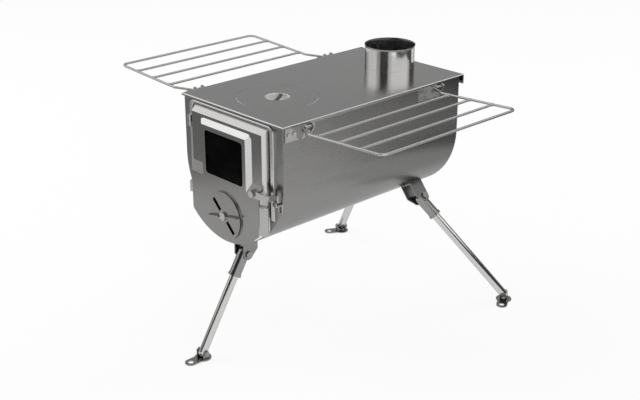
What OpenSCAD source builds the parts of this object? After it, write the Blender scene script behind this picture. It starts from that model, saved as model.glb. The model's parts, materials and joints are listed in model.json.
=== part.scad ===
// Portable wood-burning tent stove: U-shaped firebox on three folding legs, with a windowed door,
// an air dial, a lift-off cooktop lid, a flue collar and two hinged wire side shelves.
// Frame: X across the stove, +Y to the rear, +Z up. The origin is on the floor, below the middle
// of the stove's overall box. All sizes are in millimetres.

/* [Firebox] */
// Outer width of the U-shaped shell
box_w = 172; // [166:1:190]
// Length of the shell between its end plates
box_len = 289; // [275:1:330]
// Height of the straight side walls above the half-round bottom
side_h = 71; // [68:1:80]
// Sheet thickness of the shell and end plates
sheet = 1.2; // [1:0.1:1.5]
// Height of the cooking surface above the floor
stand_h = 297; // [280:1:330]

/* [Top plate] */
// Thickness of the top plate
top_t = 1.5; // [1.2:0.1:2]
// Overhang of the top plate past the side walls
top_side_over = 3; // [2:0.5:4]
// Overhang of the top plate past the front plate
top_front_over = 2; // [2:0.5:3]
// Overhang of the top plate past the rear plate
top_rear_over = 5; // [3:0.5:8]
// Depth of the folded front lip
front_lip_h = 3; // [2.5:0.5:3.5]
// Depth of the folded rear lip
rear_lip_h = 12; // [8:1:16]
// Depth of the folded side lips
side_lip_h = 4; // [3:0.5:6]

/* [Cooktop lid] */
// Distance of the lid centre behind the front plate
lid_y = 69; // [64:1:80]
// Radius of the lid
lid_r = 48; // [44:1:52]
// Thickness of the lid
lid_t = 1.2; // [1:0.1:1.5]
// Width of the sunk ring on which the lid rests
lid_seat = 4; // [3:0.5:6]
// Radius of the finger cup in the lid
cup_r = 15.5; // [13:0.5:17]
// Depth of the finger cup
cup_depth = 9; // [7:0.5:11]
// Radius of the lifting bar across the cup
lid_bar_r = 2.2; // [1.8:0.1:2.5]

/* [Flue collar] */
// Inner radius of the collar, where the stove pipe plugs in
flue_r = 30.2; // [28:0.1:32]
// Wall of the collar
flue_wall = 0.8; // [0.7:0.1:1.2]
// Height of the collar above the top plate
flue_h = 28; // [22:1:36]
// Height of the flared rim of the collar
flare_h = 3; // [2:0.5:5]
// Outward reach of the flared rim
flare_out = 1; // [0.5:0.1:1.5]
// Distance of the collar centre ahead of the rear plate
flue_back = 34; // [34:1:45]
// Width of the fixing flange below the top plate
flue_flange = 6; // [4:0.5:8]

/* [Door] */
// Distance from the side wall to the door's raised face
door_side = 26; // [25:1:30]
// How far the sides of the door slope outward to its rear edge
door_draft = 4; // [2:0.5:4.5]
// How far the top of the door slopes up to its rear edge
door_top_draft = 6; // [4:0.5:6]
// Distance from the top plate's surface to the top of the door's face
door_drop = 14; // [13.5:0.5:16]
// Sheet thickness of the door
door_t = 1.2; // [1:0.1:1.4]
// Distance of the upper flanks ahead of the front plate
flank_out = 9; // [8.5:0.5:10]
// Distance of the raised face ahead of the front plate
face_out = 13.5; // [13:0.5:15]
// Gap between the door's rear edge and the front plate
door_gap = 0.6; // [0.4:0.1:1]
// Margin between the door's round bottom and the shell's
door_bottom_in = 1; // [0.5:0.5:2]
// Height over which the face slopes back to the upper flanks
shoulder_h = 12; // [10:1:14]
// How far the pressed rim reaches below the start of the round bottom
rim_drop = 41; // [38:1:44]
// Distance of the upper hinge below the top plate's surface
hinge_drop = 22; // [20:1:26]
// Distance between the two door hinges
hinge_pitch = 82; // [70:1:86]

/* [Window] */
// Width of the window
window_w = 66; // [60:1:66]
// Height of the window
window_h = 52; // [48:1:52]
// Distance from the top plate's surface to the window's upper edge
window_drop = 29; // [28:0.5:31]
// Corner radius of the window
window_corner = 4; // [2:0.5:6]
// Width of the flat face of the bezel around the window
bezel_face = 5.5; // [4:0.5:6]
// Width of the bezel's bevel
bezel_bevel = 6; // [5:0.5:6.5]
// Thickness of the glass
glass_t = 3; // [3:0.5:3.5]

/* [Air dial] */
// Radius of the air dial
dial_r = 29; // [26:0.5:30]
// Margin between the dial and the door's round bottom
dial_margin = 3; // [2:0.5:5]
// Thickness of the dial
dial_t = 1.2; // [1:0.1:1.5]
// Width of the air slots
slot_w = 5; // [4:0.5:6]
// Height of the dial's grip fin
fin_h = 4; // [3:0.5:5]
// Angle of the grip fin from horizontal
fin_angle = 12; // [0:1:20]

/* [Latch] */
// Distance of the latch pivot inside the side edge of the door's face
latch_in = 7; // [6:0.5:7.5]
// Distance of the latch pivot below the window's lower edge
latch_below = 1; // [0.5:0.5:3]
// Distance of the hanging grip outside the side edge of the door's face
grip_out = 12; // [11.5:0.5:12.5]
// Radius of the grip
grip_r = 5.5; // [5:0.1:5.8]
// Length of the grip
grip_len = 35; // [28:1:38]

/* [Side shelves] */
// Distance of the shelf pivot outside the side wall
shelf_pivot_out = 9.5; // [9:0.5:12]
// Distance of the shelf pivot below the top plate's surface
shelf_pivot_drop = 3.6; // [3.4:0.1:5]
// Distance of the shelf's front bar behind the front plate
shelf_front = 9; // [8:1:14]
// Length of the shelf between its front and rear bars
shelf_len = 213; // [200:1:216]
// Distance from the pivot to the shelf's inner rod
shelf_inner = 33.5; // [30:0.5:38]
// Spacing of the shelf rods
rod_pitch = 32.3; // [26:0.1:36]
// Radius of the shelf wire
wire_r = 1.5; // [1.3:0.1:1.8]
// Upward tilt of the shelf
shelf_tilt = 2.9; // [1:0.1:4]

/* [Legs] */
// Radius of the leg tube
leg_r = 5.25; // [4.8:0.05:5.6]
// Wall of the leg tube
leg_wall = 1; // [0.8:0.1:1.4]
// Distance of the leg hinge outside the shell
leg_standoff = 22; // [20:0.5:26]
// Distance of the front leg hinge behind the front plate
front_leg_y = 12.5; // [11:0.5:20]
// Distance of the rear leg hinges ahead of the rear plate
rear_leg_back = 26; // [20:1:40]
// Forward rake of the front leg from vertical
front_rake = 31.5; // [20:0.5:38]
// Rearward rake of the rear legs
rear_rake = 20.3; // [12:0.1:28]
// Place of the rear leg hinges round the shell, below horizontal
rear_place = 61; // [56:0.5:64]
// Sideways direction of the rear legs, below horizontal
rear_splay = 51; // [48:0.5:60]
// Length of the leg socket beyond the hinge
socket_len = 30; // [26:1:36]

/* [Feet] */
// Height of the foot pin above the floor
foot_pin_h = 7.5; // [7:0.1:9]
// Thickness of the foot plate
foot_t = 1.5; // [1.2:0.1:1.8]
// Radius of the round foot plate
foot_r = 10; // [9.6:0.1:12]
// Distance from the foot pin to the peg eyelet
eyelet_reach = 18; // [16:0.5:22]
// Radius of the eyelet's ring
eyelet_r = 7; // [6:0.1:8]
// Radius of the peg hole
peg_hole_r = 3.5; // [2.5:0.1:4]

/* [Hidden] */
$fn = 96;
STEEL = [0.62, 0.62, 0.63];
BRIGHT = [0.78, 0.78, 0.79];
BLACK = [0.04, 0.04, 0.05];
eps = 0.01;
run_clear = 0.05;    // radial clearance of a turning pin
loose_clear = 0.3;   // gap between faces that pass each other
seat_clear = 0.2;    // gap round a piece that is dropped in place

// firebox
shell_r = box_w / 2;
top_z = stand_h;
under_top = top_z - top_t;
arc_z = under_top - side_h;

// the overall box is centred between the front eyelet and the rear feet
leg_pivot_r = shell_r + leg_standoff;
front_pivot_z = arc_z - leg_pivot_r;
rear_pivot_x = leg_pivot_r * cos(rear_place);
rear_pivot_z = arc_z - leg_pivot_r * sin(rear_place);
front_leg_len = (front_pivot_z - foot_pin_h) / cos(front_rake);
rear_leg_len = (rear_pivot_z - foot_pin_h) / (sin(rear_splay) * cos(rear_rake));
front_tip = front_leg_y - front_leg_len * sin(front_rake) - eyelet_reach - eyelet_r;
plates_len = box_len + 2 * sheet;
rear_tip = plates_len - rear_leg_back + rear_leg_len * sin(rear_rake) + foot_r;
front_y = -(front_tip + rear_tip) / 2;
rear_y = front_y + plates_len;

front_pivot = [0, front_y + front_leg_y, front_pivot_z];
rear_pivot = [rear_pivot_x, rear_y - rear_leg_back, rear_pivot_z];
front_foot = front_pivot + front_leg_len * [0, -sin(front_rake), -cos(front_rake)];
rear_dir = [cos(rear_splay) * cos(rear_rake), sin(rear_rake), -sin(rear_splay) * cos(rear_rake)];
rear_foot = rear_pivot + rear_leg_len * rear_dir;
rear_foot_turn = -atan2(rear_dir[0], rear_dir[1]);

// top plate, lid and flue
top_front_y = front_y - top_front_over;
top_rear_y = rear_y + top_rear_over;
top_half_w = shell_r + top_side_over;
lid_centre_y = front_y + lid_y;
lid_hole_r = lid_r - lid_seat;
lid_recess_r = lid_r + loose_clear;
seat_wall = 1.2;        // sheet of the sunk ring, below and round the lid
spigot_t = 1;
spigot_h = 5;
flue_y = rear_y - flue_back;
flue_out_r = flue_r + flue_wall;

// door, in heights above the floor
door_face_top = top_z - door_drop;
door_back_top = door_face_top + door_top_draft;
door_half = shell_r - door_side;
door_back_half = door_half + door_draft;
door_arc_r = shell_r - door_bottom_in;
door_back_y = front_y - door_gap;
flank_y = front_y - flank_out;
face_y = front_y - face_out;
window_top = top_z - window_drop;
window_bottom = window_top - window_h;
window_mid = (window_top + window_bottom) / 2;
bezel_half_w = window_w / 2 + bezel_face;
bezel_half_h = window_h / 2 + bezel_face;
lower_face_top = window_bottom - bezel_face + 1;
dial_z = arc_z - (door_arc_r - dial_margin - dial_r);

// door opening and raised rim of the front plate
rim_gap = 4;
rim_w = 5.5;
rim_out = 3;
rim_inner = door_back_half + rim_gap;
rim_outer = rim_inner + rim_w;
rim_top = top_z - front_lip_h - 0.5;
rim_inner_top = door_back_top + 2;
rim_corner = 9;
mouth_half = door_back_half - 10;
mouth_top = door_back_top - 10;
mouth_arc_r = door_arc_r - 10;

// glass and its fixing, from the face to the rear
glass_lap = 3;
glass_y = face_y + door_t + seat_clear;
gasket_y = glass_y + glass_t;
retainer_y = flank_y + door_t + seat_clear;
retainer_t = 1;
retainer_lap = 9;
wing_half = 4;          // half height of the retainer's cross bars
stud_r = 1.5;
stud_x = bezel_half_w + bezel_bevel + 4;
stud_z = window_h / 2 - 8;
nut_r = 3;
nut_h = 2.2;

// door hinges
hinge_x = -(rim_inner + 0.5);
hinge_y = front_y - rim_out - 3.8;
barrel_r = 3.2;
hinge_pin_r = 1.3;
knuckle_h = 6;
knuckle_gap = 0.3;
hinge_tops = [top_z - hinge_drop, top_z - hinge_drop - hinge_pitch];
leaf_t = 1.4;

// air dial
boss_t = 1;
dial_front_y = face_y - boss_t - seat_clear;
hub_r = 3;
hub_head_r = 5;
hub_head_t = 2.2;
slot_in = hub_head_r + 3;
slot_out = dial_r - 4;

// latch
latch_x = door_half - latch_in;
latch_z = window_bottom - latch_below;
latch_pin_r = 2.2;
latch_boss_r = 4.5;
lever_t = 2;
lever_h = 8;
latch_down = 6;         // angle by which the lever drops to lock the door
lever_back_y = face_y - 1.5;
lever_front_y = lever_back_y - lever_t;
lever_turn_x = rim_outer + 2.5;
nose_len = 9;
nose_back_y = front_y - 6;
nose_end_x = lever_turn_x + nose_len;
keeper_t = 1.5;
keeper_x = lever_turn_x + lever_t + 1;
keeper_h = 9;
keeper_tooth = (nose_end_x - latch_x) * sin(latch_down) + loose_clear;
grip_x = door_half + grip_out;
grip_top = latch_z - lever_h / 2 - 5;
tang_r = 2.5;
neck_w = 7;             // width of the lever's neck above the grip

// shelves
shelf_pivot_x = shell_r + shelf_pivot_out;
shelf_pivot_z = top_z - shelf_pivot_drop;
shelf_bar_y = front_y + shelf_front;
bracket_t = 1.2;
bracket_len = 32;
bracket_h = 16;
bracket_drop = 3;
bracket_lead = 6;       // the bracket starts this far ahead of the bar
ear_gap = 9.6;          // between the two ears of a bracket
ear_r = 3.6;
lug_w = 6;              // lug beside the front ear, under the wire
lug_len = 7;
lug_root = 4;
crank_run = 12;         // the wire steps this far to the rear on its way to the pivot
crank_x = 22;           // distance from the pivot at which the step begins
rivet_r = 1.6;
rivet_head_r = 2.6;
rivet_head_t = 1.1;
bracket_front_y = shelf_bar_y - bracket_lead;
bracket_starts = [bracket_front_y, bracket_front_y + shelf_len];
ear_front_y = bracket_len - 2 * bracket_t - ear_gap;
shelf_rods = [for (i = [0:3]) shelf_inner + i * rod_pitch];
shelf_reach = shelf_rods[3];
corner_r = 8;
rod_r = wire_r - 0.2;   // the inner rods are a little thinner than the frame wire
bend_swell = 0.15;      // the wire is this much thicker in its bends
bend_lap = 0.8;         // length by which the straight wire enters a round bend
ball_trim = 0.55;       // distance from a ball's centre at which the wire ends inside it

// legs
socket_r = leg_r + 2;
socket_rim_r = socket_r + 0.8;
socket_rim_h = 3;
leg_pin_r = 2.5;
leg_pin_head_r = 4.2;
leg_pin_head_t = 2;
clevis_t = 1.6;
clevis_in = socket_r + loose_clear;
clevis_out = 7;         // radius of the ear round the hinge pin
clevis_lead = clevis_out - 0.2;
clevis_tail = 14;
tube_start = leg_pin_r + 4;
foot_pin_r = 1.8;
foot_pin_head_r = 3.2;
foot_pin_head_t = 1.5;
foot_ear_t = 1.2;
foot_ear_in = leg_r + loose_clear;
foot_ear_r = 4.2;
plug_len = 14;

// grate
grate_t = 1.5;
grate_drop = 58;        // below the centre of the round bottom
grate_half = sqrt(pow(shell_r - sheet - seat_clear, 2) - pow(grate_drop, 2)) - 0.4;
grate_end_gap = 8;
grate_slots = 15;
grate_slot_w = 5;
grate_slot_l = 0.72 * grate_half;

// ---------- helpers ----------

// a 2D outline in X and Z, given depth from y0 to y1
module slab(y0, y1) {
    translate([0, y1, 0]) rotate([90, 0, 0]) linear_extrude(y1 - y0) children();
}

// a 2D outline in Y and Z, run across the whole stove
module across() {
    rotate([90, 0, 90]) translate([0, 0, -box_w]) linear_extrude(2 * box_w) children();
}

// a cylinder along Y
module rod_y(r, y0, y1) {
    translate([0, y1, 0]) rotate([90, 0, 0]) cylinder(r = r, h = y1 - y0);
}

// a cylinder along X, centred
module rod_x(r, len) {
    rotate([0, 90, 0]) cylinder(r = r, h = len, center = true);
}

// a round wire between two points
module wire(a, b, r) {
    d = b - a;
    len = norm(d);
    translate(a) rotate([0, acos(d[2] / len), atan2(d[1], d[0])]) cylinder(r = r, h = len, $fn = 32);
}

// a U: straight sides above a half-round bottom
module u_outline(r, top) {
    intersection() {
        translate([0, arc_z]) circle(r);
        translate([-r, arc_z - r]) square([2 * r, r]);
    }
    translate([-r, arc_z]) square([2 * r, top - arc_z]);
}

// a rectangle with rounded corners, centred on x = 0 and z = mid
module round_rect(half_w, half_h, mid, r) {
    translate([-half_w, mid - half_h + r]) square([2 * half_w, 2 * (half_h - r)]);
    translate([-half_w + r, mid - half_h]) square([2 * (half_w - r), 2 * half_h]);
    for (x = [-1, 1], z = [-1, 1])
        translate([x * (half_w - r), mid + z * (half_h - r)]) circle(r);
}

// the left-hand twin of a right-hand piece
module on_side(side) {
    if (side > 0) children();
    else mirror([1, 0, 0]) children();
}

// ---------- firebox ----------

module shelf_rivet_holes(depth) {
    for (start = bracket_starts, dy = [5, 13])
        translate([shell_r, start + dy, top_z - bracket_drop - bracket_h / 2])
            rod_x(rivet_r, depth);
}

module firebox_shell() {
    color(STEEL) difference() {
        slab(front_y + sheet, rear_y - sheet) difference() {
            u_outline(shell_r, under_top);
            u_outline(shell_r - sheet, top_z);
        }
        for (side = [-1, 1]) on_side(side) shelf_rivet_holes(6 * sheet);
    }
}

// inverted U of the pressed rim, open where the round bottom begins
module rim_outline(half, top, corner) {
    intersection() {
        union() {
            translate([-half, 0]) square([2 * half, top - corner]);
            translate([-half + corner, 0]) square([2 * (half - corner), top]);
            for (x = [-1, 1]) translate([x * (half - corner), top - corner]) circle(corner);
        }
        u_outline(shell_r, top_z);
    }
}

module front_plate() {
    color(STEEL) {
        difference() {
            union() {
                slab(front_y, front_y + sheet) u_outline(shell_r, under_top);
                slab(front_y - rim_out, front_y + eps) intersection() {
                    difference() {
                        rim_outline(rim_outer, rim_top, rim_corner);
                        rim_outline(rim_inner, rim_inner_top, rim_corner - rim_w / 2);
                    }
                    translate([-box_w, arc_z - rim_drop]) square([2 * box_w, top_z]);
                }
            }
            slab(front_y - 1, front_y + 2 * sheet) intersection() {
                u_outline(mouth_arc_r, mouth_top);
                translate([-mouth_half, 0]) square([2 * mouth_half, top_z]);
            }
        }
    }
}

module rear_plate() {
    color(STEEL) slab(rear_y - sheet, rear_y) u_outline(shell_r, under_top);
}

module top_plate() {
    lip_y0 = bracket_starts[0] + bracket_len + 2;
    lip_y1 = bracket_starts[1] - 2;
    color(STEEL) {
        difference() {
            translate([-top_half_w, top_front_y, under_top])
                cube([2 * top_half_w, top_rear_y - top_front_y, top_t]);
            translate([0, lid_centre_y, under_top - 1]) cylinder(r = lid_recess_r, h = top_t + 2);
            translate([0, flue_y, under_top - 1]) cylinder(r = flue_out_r + run_clear, h = top_t + 2);
        }
        // sunk ring on which the lid rests
        translate([0, lid_centre_y, under_top - seat_wall]) linear_extrude(seat_wall) difference() {
            circle(lid_recess_r + seat_wall);
            circle(lid_hole_r);
        }
        translate([-top_half_w, top_front_y, top_z - front_lip_h])
            cube([2 * top_half_w, top_t, front_lip_h - top_t + eps]);
        translate([-top_half_w, top_rear_y - top_t, top_z - rear_lip_h])
            cube([2 * top_half_w, top_t, rear_lip_h - top_t + eps]);
        for (side = [-1, 1]) on_side(side)
            translate([top_half_w - top_t, lip_y0, top_z - side_lip_h])
                cube([top_t, lip_y1 - lip_y0, side_lip_h - top_t + eps]);
    }
}

module fire_grate() {
    pitch = (box_len - 2 * grate_end_gap) / (grate_slots + 1);
    y0 = front_y + sheet + grate_end_gap;
    color(STEEL) translate([0, 0, arc_z - grate_drop]) linear_extrude(grate_t) difference() {
        translate([-grate_half, y0]) square([2 * grate_half, box_len - 2 * grate_end_gap]);
        for (i = [1:grate_slots], x = [-1, 1])
            translate([x * grate_half / 2 - grate_slot_l / 2, y0 + i * pitch - grate_slot_w / 2])
                square([grate_slot_l, grate_slot_w]);
    }
}

// ---------- flue and lid ----------

module flue_collar() {
    straight = flue_h - flare_h;
    color(BRIGHT) difference() {
        translate([0, flue_y, 0]) rotate_extrude() polygon([
            [flue_r, under_top - flue_wall],
            [flue_out_r + flue_flange, under_top - flue_wall],
            [flue_out_r + flue_flange, under_top],
            [flue_out_r, under_top],
            [flue_out_r, top_z + straight],
            [flue_out_r + flare_out, top_z + flue_h],
            [flue_r + flare_out, top_z + flue_h],
            [flue_r, top_z + straight]
        ]);
        // the flange is cut straight beside the rear plate
        translate([-box_w, rear_y - sheet - seat_clear, 0]) cube([2 * box_w, box_w, under_top]);
    }
}

module cooktop_lid() {
    spigot_out = lid_hole_r - loose_clear;
    cup_in = cup_r - lid_t;
    color(STEEL) translate([0, lid_centre_y, under_top]) rotate_extrude() polygon([
        [0, -cup_depth],
        [cup_r, -cup_depth],
        [cup_r, 0],
        [spigot_out - spigot_t, 0],
        [spigot_out - spigot_t, -spigot_h],
        [spigot_out, -spigot_h],
        [spigot_out, 0],
        [lid_r, 0],
        [lid_r, lid_t],
        [cup_in, lid_t],
        [cup_in, lid_t - cup_depth],
        [0, lid_t - cup_depth]
    ]);
}

module lid_lifting_bar() {
    bar_angle = -56;
    bar_z = under_top + lid_t - lid_bar_r - 0.5;
    color(BRIGHT) translate([0, lid_centre_y, bar_z]) rotate([0, 0, bar_angle])
        rod_x(lid_bar_r, 2 * (cup_r - lid_t) - 0.4);
}

// ---------- door ----------

// half width and top of the door at a depth y, with its sloped sides
function door_half_at(y) = door_half + door_draft * (y - face_y) / (door_back_y - face_y);
function door_top_at(y) = door_face_top + door_top_draft * (y - flank_y) / (door_back_y - flank_y);

// outer body of the door, or with an inset the hollow behind its sheet, open to the rear
module door_block(inset) {
    front = face_y + inset;
    flank = flank_y + inset;
    back = inset > 0 ? door_back_y + 1 : door_back_y;
    shoulder = lower_face_top + shoulder_h - inset;
    intersection() {
        linear_extrude(top_z) polygon([
            [-door_half_at(front) + inset, front], [door_half_at(front) - inset, front],
            [door_half_at(back) - inset, back], [-door_half_at(back) + inset, back]
        ]);
        across() polygon([
            [front, 0], [front, lower_face_top - inset], [flank, shoulder],
            [flank, door_top_at(flank) - inset], [back, door_top_at(back) - inset], [back, 0]
        ]);
        slab(face_y - 1, front_y + 2) u_outline(door_arc_r - inset, top_z);
    }
}

// frustum of the window bezel between y0 and y1; half_w and half_h are its size at y0
module bezel_block(y0, y1, half_w, half_h) {
    bevel = bezel_bevel * (y1 - y0) / (face_out - flank_out);
    intersection() {
        linear_extrude(top_z) polygon([
            [-half_w, y0], [half_w, y0], [half_w + bevel, y1], [-half_w - bevel, y1]
        ]);
        across() polygon([
            [y0, window_mid - half_h], [y0, window_mid + half_h],
            [y1, window_mid + half_h + bevel], [y1, window_mid - half_h - bevel]
        ]);
        slab(y0 - 1, y1 + 1) round_rect(half_w + bevel, half_h + bevel, window_mid, bezel_bevel);
    }
}

module air_slots() {
    for (a = [135, 315]) rotate(a)
        translate([slot_in, -slot_w / 2]) square([slot_out - slot_in, slot_w]);
}

module door_panel() {
    stud_end = retainer_y + retainer_t + nut_h + 1;
    color(STEEL) {
        difference() {
            union() {
                door_block(0);
                bezel_block(face_y, flank_y, bezel_half_w, bezel_half_h);
                // ring on which the dial turns
                translate([0, 0, dial_z]) slab(face_y - boss_t, face_y + door_t / 2) circle(dial_r + 1);
            }
            door_block(door_t);
            bezel_block(face_y + door_t, flank_y + door_t + 0.5,
                        bezel_half_w - door_t / 2, bezel_half_h - door_t / 2);
            slab(face_y - 1, face_y + 2 * door_t)
                round_rect(window_w / 2, window_h / 2, window_mid, window_corner);
            translate([0, 0, dial_z]) {
                slab(face_y - boss_t - 1, face_y) circle(dial_r - 3);
                slab(face_y - 1, face_y + 2 * door_t) {
                    air_slots();
                    circle(hub_r + run_clear);
                }
            }
            translate([latch_x, 0, latch_z]) rod_y(latch_boss_r - 0.5, face_y - 1, front_y);
        }
        // boss that carries the latch
        translate([latch_x, 0, latch_z]) difference() {
            rod_y(latch_boss_r, lever_back_y + loose_clear, flank_y + door_t);
            rod_y(latch_pin_r + run_clear, face_y - 5, front_y);
        }
        // studs for the retainer
        at_studs() rod_y(stud_r, flank_y + door_t / 2, stud_end);
    }
}

module at_studs() {
    for (x = [-1, 1], z = [-1, 1]) translate([x * stud_x, 0, window_mid + z * stud_z]) children();
}

module door_glass() {
    color(BLACK) slab(glass_y, glass_y + glass_t)
        round_rect(window_w / 2 + glass_lap, window_h / 2 + glass_lap, window_mid, 1);
}

module glass_gasket() {
    color([0.75, 0.74, 0.7]) slab(gasket_y, retainer_y) difference() {
        round_rect(window_w / 2 + glass_lap, window_h / 2 + glass_lap, window_mid, 1);
        round_rect(window_w / 2 - 1, window_h / 2 - 1, window_mid, window_corner);
    }
}

module glass_retainer() {
    color(STEEL) difference() {
        slab(retainer_y, retainer_y + retainer_t) difference() {
            union() {
                round_rect(window_w / 2 + retainer_lap, window_h / 2 + retainer_lap, window_mid, 4);
                for (z = [-1, 1])
                    translate([-stud_x - wing_half, window_mid + z * stud_z - wing_half])
                        square([2 * (stud_x + wing_half), 2 * wing_half]);
            }
            round_rect(window_w / 2 - 1, window_h / 2 - 1, window_mid, window_corner);
        }
        at_studs() rod_y(stud_r + run_clear, retainer_y - 1, retainer_y + retainer_t + 1);
    }
}

module retainer_nuts() {
    nut_y = retainer_y + retainer_t;
    color(BRIGHT) difference() {
        at_studs() translate([0, nut_y + nut_h, 0]) rotate([90, 0, 0])
            cylinder(r = nut_r, h = nut_h, $fn = 6);
        at_studs() rod_y(stud_r + run_clear, nut_y - 1, nut_y + nut_h + 1);
    }
}

// ---------- door hinges ----------

module frame_hinge_leaves() {
    color(BRIGHT) for (top = hinge_tops) difference() {
        union() {
            translate([hinge_x, hinge_y, top - knuckle_h])
                cylinder(r = barrel_r, h = knuckle_h, $fn = 48);
            translate([-rim_outer, front_y - rim_out - leaf_t, top - knuckle_h])
                cube([rim_outer + hinge_x, leaf_t, knuckle_h]);
        }
        translate([hinge_x, hinge_y, top - knuckle_h - 1])
            cylinder(r = hinge_pin_r + run_clear, h = knuckle_h + 2, $fn = 48);
    }
}

module door_hinge_leaves() {
    color(BRIGHT) for (top = hinge_tops) {
        z1 = top - knuckle_h - knuckle_gap;
        difference() {
            union() {
                translate([hinge_x, hinge_y, z1 - knuckle_h])
                    cylinder(r = barrel_r, h = knuckle_h, $fn = 48);
                translate([hinge_x, hinge_y - leaf_t / 2, z1 - knuckle_h])
                    cube([-hinge_x - door_half - 1, leaf_t, knuckle_h]);
            }
            door_block(0);
            translate([hinge_x, hinge_y, z1 - knuckle_h - 1])
                cylinder(r = hinge_pin_r + run_clear, h = knuckle_h + 2, $fn = 48);
        }
    }
}

module door_hinge_pins() {
    color(BRIGHT) for (top = hinge_tops) {
        translate([hinge_x, hinge_y, top - 2 * knuckle_h - knuckle_gap])
            cylinder(r = hinge_pin_r, h = 2 * knuckle_h + knuckle_gap + eps, $fn = 48);
        translate([hinge_x, hinge_y, top]) cylinder(r = barrel_r - 0.6, h = 1.2, $fn = 48);
    }
}

// ---------- air dial ----------

module air_dial() {
    color(BRIGHT) translate([0, 0, dial_z]) {
        slab(dial_front_y - dial_t, dial_front_y) difference() {
            circle(dial_r);
            air_slots();
            circle(hub_r + run_clear);
        }
        rotate([0, -fin_angle, 0]) for (side = [-1, 1])
            translate([side > 0 ? hub_head_r + 1 : -dial_r + 2, dial_front_y - dial_t - fin_h, -0.8])
                cube([dial_r - hub_head_r - 3, fin_h + eps, 1.6]);
    }
}

module dial_rivet() {
    front = dial_front_y - dial_t - seat_clear;
    color(BRIGHT) translate([0, 0, dial_z]) {
        rod_y(hub_r, front - eps, face_y + door_t + seat_clear + eps);
        rod_y(hub_head_r, front - hub_head_t, front);
        rod_y(hub_head_r, face_y + door_t + seat_clear, face_y + door_t + seat_clear + hub_head_t);
    }
}

// ---------- latch ----------

module latch_lever() {
    color(BRIGHT) difference() {
        union() {
            // arm across the door's face
            slab(lever_front_y, lever_back_y) {
                translate([latch_x, latch_z]) circle(lever_h / 2 + 0.5);
                translate([latch_x, latch_z - lever_h / 2])
                    square([lever_turn_x + lever_t - latch_x, lever_h]);
                translate([grip_x - neck_w / 2, grip_top]) square([neck_w, latch_z - grip_top]);
            }
            // step back towards the front plate
            translate([lever_turn_x, lever_front_y, latch_z - lever_h / 2])
                cube([lever_t, nose_back_y - lever_front_y, lever_h]);
            // nose that drops behind the keeper
            translate([lever_turn_x, nose_back_y - lever_t, latch_z - lever_h / 2])
                cube([nose_len, lever_t, lever_h]);
            // tang inside the grip
            translate([grip_x, lever_back_y - lever_t / 2, grip_top - grip_len + 3])
                cylinder(r = tang_r, h = grip_len - 3 + eps, $fn = 48);
        }
        translate([latch_x, 0, latch_z])
            rod_y(latch_pin_r + run_clear, lever_front_y - 1, lever_back_y + 1);
    }
}

module latch_pivot() {
    color(BRIGHT) translate([latch_x, 0, latch_z]) {
        rod_y(latch_pin_r, lever_front_y - loose_clear - eps, flank_y + door_t + eps);
        rod_y(latch_boss_r - 0.5, lever_front_y - loose_clear - 2, lever_front_y - loose_clear);
        rod_y(latch_boss_r - 0.5, flank_y + door_t, flank_y + door_t + 1.5);
    }
}

module latch_grip() {
    color(BRIGHT) translate([grip_x, lever_back_y - lever_t / 2, grip_top - grip_len]) difference() {
        union() {
            translate([0, 0, 1]) cylinder(r = grip_r, h = grip_len - 2);
            cylinder(r = grip_r - 0.8, h = grip_len);
        }
        translate([0, 0, 2.5]) cylinder(r = tang_r + run_clear, h = grip_len, $fn = 48);
    }
}

// the nose clears the tooth at rest and drops behind it when the lever is pushed down
module latch_keeper() {
    tooth_top = latch_z - lever_h / 2 - loose_clear;
    arm_z = tooth_top - keeper_tooth - keeper_t;
    tooth_y = nose_back_y - lever_t - loose_clear - keeper_t;
    width = nose_end_x - keeper_x;
    color(BRIGHT) translate([keeper_x, 0, 0]) {
        translate([0, front_y - keeper_t, arm_z - keeper_h]) cube([width, keeper_t, keeper_h + eps]);
        translate([0, tooth_y, arm_z]) cube([width, front_y - tooth_y, keeper_t]);
        translate([0, tooth_y, arm_z]) cube([width, keeper_t, tooth_top - arm_z]);
    }
}

// ---------- side shelves ----------

// a flat wire through corner points; a bend is round, or a ball where its radius is 0
module bent_wire(points, bends) {
    last = len(points) - 1;
    function dir(i) = (points[i + 1] - points[i]) / norm(points[i + 1] - points[i]);
    function turn(i) = let (a = dir(i - 1), b = dir(i)) atan2(a[0] * b[1] - a[1] * b[0], a * b);
    function tangent(i) = bends[i] * tan(abs(turn(i)) / 2);
    // distance from a corner at which the straight wire ends, inside the bend
    function trim(i) = i == 0 || i == last ? 0 : bends[i] == 0 ? ball_trim : tangent(i) - bend_lap;
    for (i = [0:last - 1]) {
        a = points[i] + trim(i) * dir(i);
        b = points[i + 1] - trim(i + 1) * dir(i);
        wire([a[0], a[1], 0], [b[0], b[1], 0], wire_r);
    }
    for (i = [1:last - 1]) {
        if (bends[i] == 0)
            translate([points[i][0], points[i][1], 0]) rotate(240) sphere(wire_r + bend_swell, $fn = 36);
        else {
            left = turn(i) > 0;
            start = points[i] - tangent(i) * dir(i - 1);
            translate([start[0], start[1], 0]) rotate([0, 0, atan2(dir(i - 1)[1], dir(i - 1)[0])])
                translate([0, left ? bends[i] : -bends[i], 0])
                    rotate([0, 0, left ? -90 : 90 - abs(turn(i))])
                    rotate_extrude(angle = abs(turn(i)))
                        translate([bends[i], 0]) circle(wire_r + bend_swell, $fn = 32);
        }
    }
}

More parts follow.
